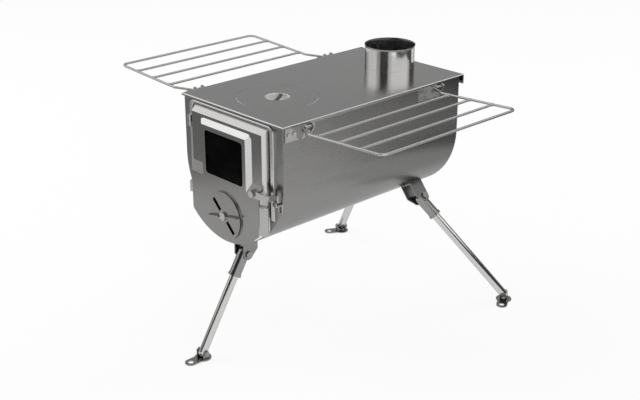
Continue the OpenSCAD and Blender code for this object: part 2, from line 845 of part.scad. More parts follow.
module shelf(side) {
    pin_start = crank_run;
    pin_end = crank_run + 2 * bracket_t + ear_gap + 5;
    color(BRIGHT) on_side(side) translate([shelf_pivot_x, shelf_bar_y, shelf_pivot_z])
    rotate([0, -shelf_tilt, 0]) {
        bent_wire(
            [[0, pin_end], [0, pin_start], [crank_x, 0], [shelf_reach, 0],
             [shelf_reach, shelf_len], [crank_x, shelf_len],
             [0, shelf_len + pin_start], [0, shelf_len + pin_end]],
            [0, 0, 0, corner_r, corner_r, 0, 0, 0]
        );
        for (i = [0:2]) wire([shelf_rods[i], 0, 0], [shelf_rods[i], shelf_len, 0], rod_r);
    }
}

module shelf_brackets(side) {
    base_top = top_z - bracket_drop;
    base_bottom = base_top - bracket_h;
    inner_x = shell_r + bracket_t;
    rest_z = shelf_pivot_z - wire_r - 0.1;
    color(STEEL) on_side(side) difference() {
        for (start = bracket_starts) translate([0, start, 0]) {
            translate([shell_r, 0, base_bottom]) cube([bracket_t, bracket_len, bracket_h]);
            for (y = [ear_front_y, bracket_len - bracket_t])
                slab(y, y + bracket_t) {
                    translate([shelf_pivot_x, shelf_pivot_z]) circle(ear_r);
                    polygon([
                        [inner_x - eps, base_bottom], [inner_x + 3, base_bottom],
                        [shelf_pivot_x + ear_r, shelf_pivot_z - 1], [shelf_pivot_x, shelf_pivot_z],
                        [inner_x - eps, shelf_pivot_z]
                    ]);
                }
            // lug on which the cranked wire rests
            translate([shelf_pivot_x + 2, ear_front_y, rest_z - bracket_t]) {
                translate([0, -lug_len, 0]) cube([lug_w, lug_len + bracket_t, bracket_t]);
                translate([0, 0, -lug_root]) cube([lug_w, bracket_t, lug_root + eps]);
            }
        }
        for (start = bracket_starts) translate([shelf_pivot_x, start, shelf_pivot_z])
            rod_y(wire_r + run_clear, ear_front_y - 1, bracket_len + 1);
        shelf_rivet_holes(6 * sheet);
    }
}

module bracket_rivets() {
    color(BRIGHT) for (side = [-1, 1]) on_side(side)
        for (start = bracket_starts, dy = [5, 13])
            translate([shell_r, start + dy, top_z - bracket_drop - bracket_h / 2]) {
                translate([(bracket_t - sheet) / 2, 0, 0]) rod_x(rivet_r, bracket_t + sheet + 2 * eps);
                translate([bracket_t + rivet_head_t / 2, 0, 0]) rod_x(rivet_head_r, rivet_head_t);
                translate([-sheet - rivet_head_t / 2, 0, 0]) rod_x(rivet_head_r, rivet_head_t);
            }
}

// ---------- legs ----------

// frame at a leg's hinge: X along the pin, -Z straight away from the shell, +Y the way the leg rakes
module at_hinge(leg) {
    if (leg == "front") translate(front_pivot) rotate([0, 0, 180]) children();
    else on_side(leg == "right" ? 1 : -1)
        translate(rear_pivot) rotate([0, rear_splay - 90, 0]) children();
}

// the same frame turned so that -Z runs down the leg
module along_leg(leg) {
    at_hinge(leg) rotate([leg == "front" ? front_rake : rear_rake, 0, 0]) children();
}

// frame at a foot pin: X along the pin, +Y outward over the floor
module at_foot(leg) {
    if (leg == "front") translate(front_foot) rotate([0, 0, 180]) children();
    else on_side(leg == "right" ? 1 : -1)
        translate(rear_foot) rotate([0, 0, rear_foot_turn]) children();
}

module leg_bracket(leg) {
    reach = leg_standoff + 12;
    cheek = (clevis_out - 0.3) / sqrt(2);
    color(STEEL) difference() {
        union() {
            at_hinge(leg) for (x = [-clevis_in - clevis_t, clevis_in])
                translate([x, 0, 0]) rotate([90, 0, 90]) linear_extrude(clevis_t) {
                    circle(clevis_out);
                    polygon([
                        [-clevis_tail, reach], [clevis_lead, reach], [clevis_lead, 0], [0, 0],
                        [-cheek, -cheek], [-clevis_tail, clevis_tail - 2 * cheek]
                    ]);
                }
            intersection() {
                at_hinge(leg) translate([-clevis_in - clevis_t, -clevis_tail, 0])
                    cube([2 * (clevis_in + clevis_t), clevis_tail + clevis_lead, reach]);
                translate([0, 0, arc_z]) rod_y(shell_r + clevis_t, front_y, rear_y);
            }
        }
        translate([0, 0, arc_z]) rod_y(shell_r, 2 * front_y, 2 * rear_y);
        at_hinge(leg) rod_x(leg_pin_r, 4 * socket_r);
    }
}

module leg_pin(leg) {
    half = clevis_in + clevis_t;
    color(BRIGHT) at_hinge(leg) {
        rod_x(leg_pin_r, 2 * half + 2 * eps);
        for (x = [-1, 1]) translate([x * (half + leg_pin_head_t / 2), 0, 0])
            rod_x(leg_pin_head_r, leg_pin_head_t);
    }
}

module leg_socket(leg) {
    color(STEEL) difference() {
        along_leg(leg) {
            sphere(socket_r);
            translate([0, 0, -socket_len]) cylinder(r = socket_r, h = socket_len);
            translate([0, 0, -socket_len]) cylinder(r = socket_rim_r, h = socket_rim_h);
        }
        along_leg(leg) translate([0, 0, -socket_len - 1])
            cylinder(r = leg_r, h = socket_len + 1 - tube_start);
        at_hinge(leg) rod_x(leg_pin_r + run_clear, 4 * socket_r);
    }
}

module leg_tube(leg) {
    len = leg == "front" ? front_leg_len : rear_leg_len;
    color(BRIGHT) difference() {
        along_leg(leg) {
            translate([0, 0, -len]) cylinder(r = leg_r, h = len - tube_start);
            translate([0, 0, -len]) sphere(leg_r);
        }
        along_leg(leg) translate([0, 0, -len + plug_len]) cylinder(r = leg_r - leg_wall, h = len);
        at_foot(leg) rod_x(foot_pin_r + run_clear, 4 * leg_r);
    }
}

module foot(leg) {
    floor_z = -foot_pin_h;
    eyelet_turn = leg == "front" ? 0 : -90;
    ear_half = foot_ear_in + foot_ear_t;
    color(STEEL) at_foot(leg) difference() {
        union() {
            translate([0, 0, floor_z]) cylinder(r = foot_r, h = foot_t);
            rotate([0, 0, eyelet_turn]) {
                translate([-eyelet_r, 0, floor_z]) cube([2 * eyelet_r, eyelet_reach, foot_t]);
                translate([0, eyelet_reach, floor_z]) cylinder(r = eyelet_r, h = foot_t);
            }
            for (x = [-ear_half, foot_ear_in]) translate([x, 0, 0]) {
                rotate([0, 90, 0]) cylinder(r = foot_ear_r, h = foot_ear_t);
                translate([0, -foot_ear_r, floor_z]) cube([foot_ear_t, 2 * foot_ear_r, foot_pin_h]);
            }
        }
        rotate([0, 0, eyelet_turn]) translate([0, eyelet_reach, floor_z - 1])
            cylinder(r = peg_hole_r, h = foot_t + 2);
        rod_x(foot_pin_r, 4 * leg_r);
    }
}

module foot_pin(leg) {
    half = foot_ear_in + foot_ear_t;
    color(BRIGHT) at_foot(leg) {
        rod_x(foot_pin_r, 2 * half + 2 * eps);
        for (x = [-1, 1]) translate([x * (half + foot_pin_head_t / 2), 0, 0])
            rod_x(foot_pin_head_r, foot_pin_head_t);
    }
}

firebox_shell();
front_plate();
rear_plate();
top_plate();
fire_grate();
flue_collar();
cooktop_lid();
lid_lifting_bar();
door_panel();
door_glass();
glass_gasket();
glass_retainer();
retainer_nuts();
frame_hinge_leaves();
door_hinge_leaves();
door_hinge_pins();
air_dial();
dial_rivet();
latch_lever();
latch_pivot();
latch_grip();
latch_keeper();
shelf(1);  // right_shelf
shelf(-1);  // left_shelf
shelf_brackets(1);  // right_shelf_brackets
shelf_brackets(-1);  // left_shelf_brackets
bracket_rivets();
leg_bracket("front");  // front_leg_bracket
leg_pin("front");  // front_leg_pin
leg_socket("front");  // front_leg_socket
leg_tube("front");  // front_leg_tube
foot("front");  // front_foot
foot_pin("front");  // front_foot_pin
leg_bracket("right");  // right_leg_bracket
leg_pin("right");  // right_leg_pin
leg_socket("right");  // right_leg_socket
leg_tube("right");  // right_leg_tube
foot("right");  // right_foot
foot_pin("right");  // right_foot_pin
leg_bracket("left");  // left_leg_bracket
leg_pin("left");  // left_leg_pin
leg_socket("left");  // left_leg_socket
leg_tube("left");  // left_leg_tube
foot("left");  // left_foot
foot_pin("left");  // left_foot_pin
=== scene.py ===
"""Looks of the tent stove: stainless materials, soft sheet edges, smooth wires, studio and camera.

Lengths are in metres, except where a name or a comment says millimetres. Azimuths are in degrees
and run from the front (-Y) towards +X.
"""

import json
import math

import bmesh
import bpy
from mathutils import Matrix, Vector

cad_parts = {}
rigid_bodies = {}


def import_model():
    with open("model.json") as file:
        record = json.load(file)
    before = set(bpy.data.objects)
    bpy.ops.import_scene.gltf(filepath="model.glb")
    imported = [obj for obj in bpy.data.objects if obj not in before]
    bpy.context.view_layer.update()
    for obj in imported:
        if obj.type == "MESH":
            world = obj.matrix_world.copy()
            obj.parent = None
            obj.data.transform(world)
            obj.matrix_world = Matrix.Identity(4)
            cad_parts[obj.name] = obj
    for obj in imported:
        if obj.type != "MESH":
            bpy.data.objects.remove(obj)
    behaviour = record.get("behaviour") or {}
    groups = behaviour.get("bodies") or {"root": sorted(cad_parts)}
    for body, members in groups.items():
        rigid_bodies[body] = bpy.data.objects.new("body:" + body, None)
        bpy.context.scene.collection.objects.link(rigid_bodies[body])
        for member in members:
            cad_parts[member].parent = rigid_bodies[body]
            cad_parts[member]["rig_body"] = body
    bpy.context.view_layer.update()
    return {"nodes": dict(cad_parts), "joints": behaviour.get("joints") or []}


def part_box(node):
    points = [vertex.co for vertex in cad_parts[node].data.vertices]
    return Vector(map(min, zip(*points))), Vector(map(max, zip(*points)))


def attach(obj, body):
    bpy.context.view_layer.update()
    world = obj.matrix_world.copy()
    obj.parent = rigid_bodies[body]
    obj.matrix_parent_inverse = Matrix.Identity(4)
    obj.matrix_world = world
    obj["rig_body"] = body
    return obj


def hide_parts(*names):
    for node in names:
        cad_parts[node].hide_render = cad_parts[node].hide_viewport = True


MM = 0.001
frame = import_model()
NODES = frame["nodes"]
scene = bpy.context.scene


# ---------- shader helpers ----------

WHITE = (1.0, 1.0, 1.0)
STEEL_TINT = (1.0, 0.99, 0.985)
STAIN_TINT = (1.0, 0.965, 0.92)     # faint warm clouds in the steel
SOOT_TINT = (1.0, 0.9, 0.8)
ROPE_TINT = (1.0, 0.98, 0.94)
ROPE_SHADE_TINT = (1.0, 0.98, 0.93)
MIX_A, MIX_B, MIX_RESULT = 6, 7, 2  # the colour sockets of a Mix node


def new_material(name):
    """An empty node material and its node tree."""
    material = bpy.data.materials.new(name)
    material.use_nodes = True
    material.node_tree.nodes.clear()
    return material, material.node_tree


def add(tree, kind, inputs=None, **settings):
    """Adds a node, sets its attributes, then sets or links its inputs by name or index."""
    node = tree.nodes.new(kind)
    for key, value in settings.items():
        setattr(node, key, value)
    for key, value in (inputs or {}).items():
        if isinstance(value, bpy.types.NodeSocket):
            tree.links.new(value, node.inputs[key])
        else:
            node.inputs[key].default_value = value
    return node


def grey(value, tint=WHITE):
    return (value * tint[0], value * tint[1], value * tint[2], 1.0)


def object_coords(tree):
    return add(tree, "ShaderNodeTexCoord").outputs["Object"]


def noise(tree, vector, scale, detail=2.0, rough=0.5):
    return add(tree, "ShaderNodeTexNoise", {
        "Vector": vector, "Scale": scale, "Detail": detail, "Roughness": rough,
    }).outputs["Fac"]


def remap(tree, value, low, high, from_low=0.3, from_high=0.7):
    """Maps a noise value from its usual span to low..high."""
    return add(tree, "ShaderNodeMapRange", {
        "Value": value, "From Min": from_low, "From Max": from_high,
        "To Min": low, "To Max": high,
    }).outputs["Result"]


def mix_color(tree, factor, a, b):
    return add(tree, "ShaderNodeMix", {
        "Factor": factor, MIX_A: a, MIX_B: b,
    }, data_type="RGBA").outputs[MIX_RESULT]


def mix_shader(tree, factor, a, b):
    return add(tree, "ShaderNodeMixShader", {"Fac": factor, 1: a, 2: b}).outputs["Shader"]


def math_node(tree, operation, a, b):
    return add(tree, "ShaderNodeMath", {0: a, 1: b}, operation=operation).outputs[0]


def diffuse(tree, value):
    return add(tree, "ShaderNodeBsdfDiffuse", {"Color": grey(value)}).outputs["BSDF"]


def emission(tree, value):
    glow = add(tree, "ShaderNodeEmission", {"Color": grey(value), "Strength": 1.0})
    return glow.outputs["Emission"]


def background(tree, strength):
    sky = add(tree, "ShaderNodeBackground", {"Color": grey(1.0), "Strength": strength})
    return sky.outputs["Background"]


def show(tree, shader, output="ShaderNodeOutputMaterial"):
    """Links a finished shader to the tree's output."""
    add(tree, output, {"Surface": shader})


# ---------- materials ----------

# stains, flecks and scratches of the steel: noise scale, brightness against the clean steel, and
# greatest share of the colour; a span is the part of the noise in which they come and go
STAIN_SCALE, STAIN_LEVEL, STAIN_SHARE = 9.0, 0.86, 0.35
FLECK_SCALE, FLECK_LEVEL, FLECK_SHARE, FLECK_SPAN = 85.0, 1.25, 0.12, (0.45, 0.75)
SCRATCH_LEVEL, SCRATCH_SPAN = 1.9, (0.66, 0.74)
SCRATCH_TURN = (0.5, 0.3, 0.9)
SCRATCH_STRETCH = (900.0, 14.0, 900.0)
ROUGH_SWING = 0.18          # how far the brush lines sway the roughness, as a share of it
STAIN_ROUGHNESS = (-0.02, 0.03)
BRUSH_STRENGTH, BRUSH_DEPTH = 0.12, 0.00012

SOOT_SCALE, SOOT_SPAN = 60.0, (0.45, 0.8)
GLASS_ROUGHNESS = (0.05, 0.16)
WEAVE_SCALE, FUZZ_SCALE = 420.0, 900.0
WEAVE_STRENGTH, WEAVE_DEPTH = 0.6, 0.0003


def steel(name, level, rough, grain, depth=1.0, wear=0.25, spread=0.05, rim=1.0):
    """Stainless steel. level is its brightness, grain the stretch of its brush lines along X, Y, Z.

    depth is for the relief of the brush lines, spread for the contrast between them, and wear for
    the strength of the scratches. rim darkens the steel where it is seen at a grazing angle.
    """
    material, tree = new_material(name)
    coords = object_coords(tree)
    brushed = add(tree, "ShaderNodeMapping", {"Vector": coords, "Scale": grain}).outputs["Vector"]
    lines = noise(tree, brushed, 1.0, detail=4.0, rough=0.65)
    stains = noise(tree, coords, STAIN_SCALE, detail=3.0)
    flecks = noise(tree, coords, FLECK_SCALE, detail=4.0, rough=0.7)
    turned = add(tree, "ShaderNodeMapping", {
        "Vector": coords, "Rotation": SCRATCH_TURN, "Scale": SCRATCH_STRETCH,
    }).outputs["Vector"]
    scratches = remap(tree, noise(tree, turned, 1.0, detail=1.0), 0.0, wear, *SCRATCH_SPAN)

    dark = grey(level * (1 - spread), STEEL_TINT)
    light = grey(level * (1 + spread), STEEL_TINT)
    stain = grey(level * STAIN_LEVEL, STAIN_TINT)
    fleck = grey(level * FLECK_LEVEL, STEEL_TINT)
    scratch = grey(min(1.0, level * SCRATCH_LEVEL))
    color = mix_color(tree, remap(tree, lines, 0.0, 1.0), dark, light)
    color = mix_color(tree, remap(tree, stains, 0.0, STAIN_SHARE), color, stain)
    color = mix_color(tree, remap(tree, flecks, 0.0, FLECK_SHARE, *FLECK_SPAN), color, fleck)
    color = mix_color(tree, scratches, color, scratch)

    roughness = remap(tree, lines, rough * (1 - ROUGH_SWING), rough * (1 + ROUGH_SWING))
    roughness = math_node(tree, "ADD", roughness, remap(tree, stains, *STAIN_ROUGHNESS))
    bump = add(tree, "ShaderNodeBump", {
        "Strength": BRUSH_STRENGTH * depth, "Distance": BRUSH_DEPTH, "Height": lines,
    })
    show(tree, add(tree, "ShaderNodeBsdfPrincipled", {
        "Base Color": color, "Metallic": 1.0, "Roughness": roughness,
        "Normal": bump.outputs["Normal"], "Specular Tint": grey(rim),
    }).outputs["BSDF"])
    return material


def dark_glass(name):
    """Heat-proof glass, opaque and nearly black as painted shade of the dark firebox behind it,
    with a faint uneven haze of soot.
    """
    material, tree = new_material(name)
    haze = noise(tree, object_coords(tree), SOOT_SCALE, detail=5.0, rough=0.6)
    soot = remap(tree, haze, 0.0, 1.0, *SOOT_SPAN)
    show(tree, add(tree, "ShaderNodeBsdfPrincipled", {
        "Base Color": mix_color(tree, soot, grey(0.0006), grey(0.003, SOOT_TINT)),
        "Roughness": remap(tree, haze, *GLASS_ROUGHNESS), "Specular IOR Level": 0.02,
    }).outputs["BSDF"])
    return material


def woven_fibre(name):
    """Pale woven ceramic rope of the window gasket."""
    material, tree = new_material(name)
    coords = object_coords(tree)
    weave = add(tree, "ShaderNodeTexWave", {
        "Vector": coords, "Scale": WEAVE_SCALE, "Distortion": 1.5, "Detail": 2.0,
    }, bands_direction="DIAGONAL").outputs["Fac"]
    fuzz = noise(tree, coords, FUZZ_SCALE, detail=3.0)
    color = mix_color(tree, weave, grey(0.38, ROPE_SHADE_TINT), grey(0.62, ROPE_TINT))
    color = mix_color(tree, remap(tree, fuzz, 0.0, 0.3), color, grey(0.2))
    bump = add(tree, "ShaderNodeBump", {
        "Strength": WEAVE_STRENGTH, "Distance": WEAVE_DEPTH, "Height": weave,
    })
    show(tree, add(tree, "ShaderNodeBsdfPrincipled", {
        "Base Color": color, "Roughness": 0.9, "Normal": bump.outputs["Normal"],
    }).outputs["BSDF"])
    return material


# ---------- camera and studio ----------

CAMERA_PLACE = Vector((0.9582, -0.8984, 0.6963))
CAMERA_AZIMUTH = math.radians(46.54)
CAMERA_ELEVATION = math.radians(22.56)
FOCAL_PIXELS = 1150.0
IMAGE_WIDTH = 640.0         # pixels
SENSOR = 36.0               # mm
CLIP_END = 50.0

WORLD_LIGHT = 0.62          # strength of the even light around the object
FLOOR_HALF = 6.0
FLOOR_Z = -0.0004           # a little below the feet's soles
FLOOR_COLOR = 0.8
FLOOR_GLOW = 0.86           # the white share of the floor as it is seen; the rest takes the shadows

LAMP_TARGET = (0.0, 0.0, 0.2)
LAMPS = (                   # name, place, width and height, watts
    ("key", (-1.45, -0.75, 1.5), (1.6, 1.2), 14.0),
    ("fill", (1.9, -0.9, 0.9), (0.8, 1.2), 8.0),
    ("back", (0.2, 1.8, 1.6), (1.2, 0.6), 8.0),
)

CLOTH_Z = 0.001
CARD_STEPS = 12
ORIGIN = (0.0, 0.0, 0.0)
UNDER_FLUE = (0.0, 0.13, 0.0)
UNDER_DOOR = (0.0, -0.14, 0.0)
BESIDE_LEG = (0.2, 0.22, 0.0)
CLOTH_UNDER_FLUE = (0.0, 0.13, CLOTH_Z)
CLOTH_FAR = (0.4, -3.0, CLOTH_Z)    # so far ahead that the cloths around it lie nearly straight

CLOTHS = (                  # name, level, centre, inner and outer radius, first and last azimuth
    # behind the stove, for its right wall
    ("cloth_back", 0.17, CLOTH_FAR, 3.42, 3.85, 177.4, 190.0),
    ("cloth_right", 0.5, CLOTH_FAR, 3.42, 3.85, 176.0, 177.4),
    ("cloth_near", 0.7, CLOTH_FAR, 3.2, 3.42, 180.0, 185.5),
    # on the left, for the left shelf's wires and the hinges
    ("cloth_left", 0.12, CLOTH_UNDER_FLUE, 0.62, 0.82, -110.0, -82.0),
)
SCREENS = (                 # name, level, centre, radius, first and last azimuth, low and high edge
    # for the door, its glass and the front plate
    ("screen_front", 0.38, UNDER_DOOR, 0.55, -90.0, 12.0, 0.002, 0.2),
    # for the front leg and for the right leg
    ("screen_tube", 0.05, UNDER_DOOR, 0.55, -28.0, 14.0, 0.2, 0.5),
    ("screen_leg", 0.06, BESIDE_LEG, 0.35, 46.0, 190.0, 0.13, 0.33),
    # for the cooking plate and its lid
    ("screen_left", 0.5, ORIGIN, 1.3, -170.0, -100.0, 0.3, 1.2),
    # for the dark strips of the flue collar
    ("screen_rear", 0.08, UNDER_FLUE, 1.3, 147.0, 188.0, 0.55, 0.97),
    ("screen_camera", 0.03, UNDER_FLUE, 1.2, -1.5, 37.0, 0.45, 1.2),
    # for the right shelf's wires and the plate's edge
    ("screen_high", 0.05, UNDER_FLUE, 1.3, 70.0, 140.0, 0.93, 1.3),
    # bright panels for the door's slopes and the flue collar
    ("panel_left", 1.35, ORIGIN, 1.3, -78.0, -18.0, 0.6, 1.25),
    ("panel_right", 1.5, UNDER_FLUE, 1.3, 51.0, 134.0, 0.6, 0.93),
)


def aim(item, direction):
    """Turns a camera or a lamp, which look along their own -Z, to a direction."""
    item.rotation_euler = direction.to_track_quat("-Z", "Y").to_euler()


def make_camera():
    data = bpy.data.cameras.new("camera")
    data.sensor_width = SENSOR
    data.lens = FOCAL_PIXELS / IMAGE_WIDTH * SENSOR
    data.clip_end = CLIP_END
    camera = bpy.data.objects.new("camera", data)
    camera.location = CAMERA_PLACE
    aim(camera, Vector((
        -math.sin(CAMERA_AZIMUTH) * math.cos(CAMERA_ELEVATION),
        math.cos(CAMERA_AZIMUTH) * math.cos(CAMERA_ELEVATION),
        -math.sin(CAMERA_ELEVATION),
    )))
    scene.collection.objects.link(camera)
    scene.camera = camera


def background_rays(tree):
    """1 for the rays that see the studio as a white background: camera, glossy and transmission."""
    path = add(tree, "ShaderNodeLightPath").outputs
    seen = math_node(tree, "MAXIMUM", path["Is Camera Ray"], path["Is Glossy Ray"])
    return math_node(tree, "MAXIMUM", seen, path["Is Transmission Ray"])


def make_world():
    world = bpy.data.worlds.new("studio")
    world.use_nodes = True
    tree = world.node_tree
    tree.nodes.clear()
    both = mix_shader(
        tree, background_rays(tree), background(tree, WORLD_LIGHT), background(tree, 1.0))
    show(tree, both, "ShaderNodeOutputWorld")
    scene.world = world


def floor_material():
    material, tree = new_material("studio_floor")
    seen = mix_shader(tree, FLOOR_GLOW, diffuse(tree, 1.0), emission(tree, 1.0))
    show(tree, mix_shader(tree, background_rays(tree), diffuse(tree, FLOOR_COLOR), seen))
    return material


def area_lamp(name, place, size, power):
    data = bpy.data.lights.new(name, "AREA")
    data.shape = "RECTANGLE"
    data.size, data.size_y = size
    data.energy = power
    lamp = bpy.data.objects.new(name, data)
    lamp.location = place
    aim(lamp, Vector(LAMP_TARGET) - Vector(place))
    lamp.visible_glossy = False     # the steel mirrors the white room and the cards instead
    scene.collection.objects.link(lamp)


def stage_piece(name, points, faces, material):
    mesh = bpy.data.meshes.new(name)
    mesh.from_pydata([tuple(point) for point in points], [], faces)
    mesh.materials.append(material)
    piece = bpy.data.objects.new(name, mesh)
    scene.collection.objects.link(piece)
    return piece


def sector(centre, inner, outer, start, end, low=0.0, high=0.0):
    """Corner points and faces of a strip bent round centre, from azimuth start to end.

    A flat strip lies between the two radii at one height; a standing one has one radius and runs
    from low to high.
    """
    points = []
    for i in range(CARD_STEPS + 1):
        azimuth = math.radians(start + (end - start) * i / CARD_STEPS)
        ray = Vector((math.sin(azimuth), -math.cos(azimuth), 0.0))
        points.append(Vector(centre) + inner * ray + Vector((0, 0, low)))
        points.append(Vector(centre) + outer * ray + Vector((0, 0, high)))
    faces = [(2 * i, 2 * i + 1, 2 * i + 3, 2 * i + 2) for i in range(CARD_STEPS)]
    return points, faces


def card(name, level, points, faces):
    """A card that only the polished steel sees, as in a product photographer's studio."""
    material, tree = new_material(name)
    show(tree, emission(tree, level))
    piece = stage_piece(name, points, faces, material)
    piece.visible_camera = False
    piece.visible_diffuse = False
    piece.visible_shadow = False
    piece.visible_transmission = False


def make_studio():
    half = FLOOR_HALF
    corners = [(-half, -half, 0), (half, -half, 0), (half, half, 0), (-half, half, 0)]
    floor = stage_piece("floor", corners, [(0, 1, 2, 3)], floor_material())
    floor.location.z = FLOOR_Z
    for lamp in LAMPS:
        area_lamp(*lamp)
    for name, level, centre, inner, outer, start, end in CLOTHS:
        card(name, level, *sector(centre, inner, outer, start, end))
    for name, level, centre, radius, start, end, low, high in SCREENS:
        card(name, level, *sector(centre, radius, radius, start, end, low, high))


# ---------- materials of the nodes ----------

SHEET_X = (12.0, 1500.0, 1500.0)    # brush lines along X
SHEET_Y = (1500.0, 12.0, 1500.0)
SHEET_Z = (1500.0, 1500.0, 12.0)
FINE = (700.0, 700.0, 700.0)

sheet_top = steel("sheet_top", 0.31, 0.17, SHEET_Y)
sheet_side = steel("sheet_side", 0.27, 0.26, SHEET_Y, depth=0.15, wear=0.1, spread=0.03, rim=0.72)
sheet_front = steel("sheet_front", 0.27, 0.24, SHEET_X)
sheet_door = steel("sheet_door", 0.25, 0.2, SHEET_Z)
bracket_steel = steel("bracket_steel", 0.25, 0.26, FINE)
# painted highlight: a brighter copy of the bracket steel for the shelf brackets, standing in for
# the light their faces would catch
hanger_painted_light_steel = steel("hanger_painted_light_steel", 0.48, 0.26, FINE)
socket_steel = steel("socket_steel", 0.3, 0.15, FINE, depth=0.6, rim=0.7)
# painted shade: a near-black steel for the lid's lifting bar and for the collar's upper rim and the
# inside of its flare, darkening them as shade and dark reflections would
painted_shade_steel = steel("painted_shade_steel", 0.1, 0.3, FINE, depth=0.6)
# painted highlight: a much brighter copy of the sheet steel, put on the door's slopes, the front
# plate's rim, the top plate's edges and the shell's rounded edges so that they shine
painted_highlight_steel = steel("painted_highlight_steel", 0.62, 0.17, FINE, depth=0.6, spread=0.04)
# painted light: a near-white, rough copy of the steel for the inside of the lid's finger cup, so
# that it shows lit where its own walls shade it
cup_painted_light_steel = steel("cup_painted_light_steel", 0.95, 0.65, FINE, depth=0.6, spread=0.03)
bright_steel = steel("bright_steel", 0.55, 0.14, FINE, depth=0.6, spread=0.03)
flue_steel = steel("flue_steel", 0.85, 0.16, FINE, depth=0.4, spread=0.03, rim=0.3)
latch_steel = steel("latch_steel", 0.42, 0.14, FINE, depth=0.6, spread=0.05, rim=0.8)
tube_steel = steel("tube_steel", 0.6, 0.12, FINE, depth=0.5, spread=0.03, rim=0.7)
wire_steel = steel("wire_steel", 0.45, 0.2, FINE, depth=0.6, spread=0.04, rim=0.6)
window_glass = dark_glass("window_glass")
gasket_fibre = woven_fibre("gasket_fibre")

LOOKS = {                           # nodes that aren't named here are bright_steel
    "firebox_shell": sheet_side, "front_plate": sheet_front, "rear_plate": sheet_front,
    "top_plate": sheet_top, "cooktop_lid": sheet_top, "fire_grate": bracket_steel,
    "flue_collar": flue_steel, "lid_lifting_bar": painted_shade_steel,
    "latch_lever": latch_steel, "latch_grip": latch_steel, "latch_keeper": latch_steel,
    "latch_pivot": latch_steel, "dial_rivet": latch_steel, "bracket_rivets": latch_steel,
    "frame_hinge_leaves": latch_steel, "door_hinge_leaves": latch_steel,
    "door_panel": sheet_door, "door_glass": window_glass, "glass_gasket": gasket_fibre,
    "glass_retainer": sheet_front, "air_dial": sheet_door,
    "right_shelf_brackets": hanger_painted_light_steel, "left_shelf_brackets": hanger_painted_light_steel,
    "right_shelf": wire_steel, "left_shelf": wire_steel,
}
for leg in ("front", "right", "left"):
    LOOKS[f"{leg}_leg_bracket"] = bracket_steel
    LOOKS[f"{leg}_leg_tube"] = tube_steel
    for part in ("leg_socket", "leg_pin", "foot", "foot_pin"):
        LOOKS[f"{leg}_{part}"] = socket_steel


def dress(mesh, *materials):
    """Gives a mesh its materials. Its faces must be sorted into the slots after this."""
    mesh.materials.clear()
    for material in materials:
        mesh.materials.append(material)


for node_name, item in NODES.items():
    dress(item.data, LOOKS.get(node_name, bright_steel))


# ---------- rounded edges ----------

MERGE_GAP = 2e-6
FLAT_ANGLE = 0.7                    # degrees; faces that meet at less become one
SHARP_ANGLE = 32.0                  # degrees; the usual limit for an edge that is rounded
DOOR_ANGLE = 13.0                   # below the door's slopes, above the steps of its round faces
SOFT_SEGMENTS, BOLD_SEGMENTS = 3, 4

# faces and edges that get painted light or shade, or a rounding of their own, are found by their
# place in the frame
SLACK = 0.0003
LEAN_LIMIT, LEAN_SIDE, LEAN_UP = 0.985, 0.2, 0.5    # parts of a slope's normal
PLATE_LOW, PLATE_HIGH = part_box("top_plate")
RIM_FRONT, RIM_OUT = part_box("front_plate")[0].y, 0.003
LID_LOW, LID_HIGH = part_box("cooktop_lid")
LID_MIDDLE = (LID_LOW + LID_HIGH) / 2
CUP_R = 0.0146
CUP_UNDER = -0.5                    # faces whose normals point further down are below the cup
COLLAR_LOW, COLLAR_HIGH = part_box("flue_collar")
COLLAR_Y = COLLAR_LOW.y + COLLAR_HIGH.x     # its flange is round, but cut straight at the rear
COLLAR_FLARE = 0.006


def leans(face):
    """The door's pressed slopes, without the shallow one below its flanks. They get the painted
    highlight.
    """
    x, y, z = (abs(c) for c in face.normal)
    return max(x, y, z) < LEAN_LIMIT and (x > LEAN_SIDE or z > LEAN_UP)


def on_ring(face):
    """The upper rim of the flue collar and the inside of its flare, which get painted shade."""
    middle = face.calc_center_median()
    inward = face.normal.x * middle.x + face.normal.y * (middle.y - COLLAR_Y) < 0.0
    return middle.z > COLLAR_HIGH.z - (COLLAR_FLARE if inward else SLACK)


def on_plate_edge(edge):
    """The upper outer edges of the top plate."""
    middle = (edge.verts[0].co + edge.verts[1].co) / 2
    inside = (
        abs(middle.x) <= PLATE_HIGH.x - SLACK
        and PLATE_LOW.y + SLACK < middle.y < PLATE_HIGH.y - SLACK)
    return all(v.co.z > PLATE_HIGH.z - SLACK for v in edge.verts) and not inside


def on_rim(edge):
    """The front edges of the rim pressed out of the front plate."""
    return all(v.co.y < RIM_FRONT + SLACK for v in edge.verts)


def on_rim_face(face):
    """The faces of that rim."""
    return face.calc_center_median().y < RIM_FRONT + RIM_OUT - SLACK


def in_cup(face):
    """The inside of the lid's finger cup, which gets painted light."""
    middle = face.calc_center_median()
    reach = (middle - LID_MIDDLE).xy.length
    return reach < CUP_R and face.normal.z > CUP_UNDER and middle.z < LID_HIGH.z - SLACK


def place(name, mesh, body, *replaced):
    """Links a finished mesh as a piece that rides on a body and may replace CAD nodes."""
    piece = bpy.data.objects.new(name, mesh)
    scene.collection.objects.link(piece)
    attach(piece, body)
    if replaced:
        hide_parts(*replaced)
    return piece


def round_edges(piece, width, segments, slot, crease=None):
    """Rounds the edges sharper than crease (degrees), or without it those with a bevel weight.

    width is in millimetres and slot is the material slot of the rounding.
    """
    bevel = piece.modifiers.new("rounded_edges", "BEVEL")
    bevel.width = width * MM
    bevel.segments = segments
    bevel.limit_method = "WEIGHT" if crease is None else "ANGLE"
    bevel.angle_limit = math.radians(crease or 0.0)
    bevel.use_clamp_overlap = crease is not None
    bevel.material = slot


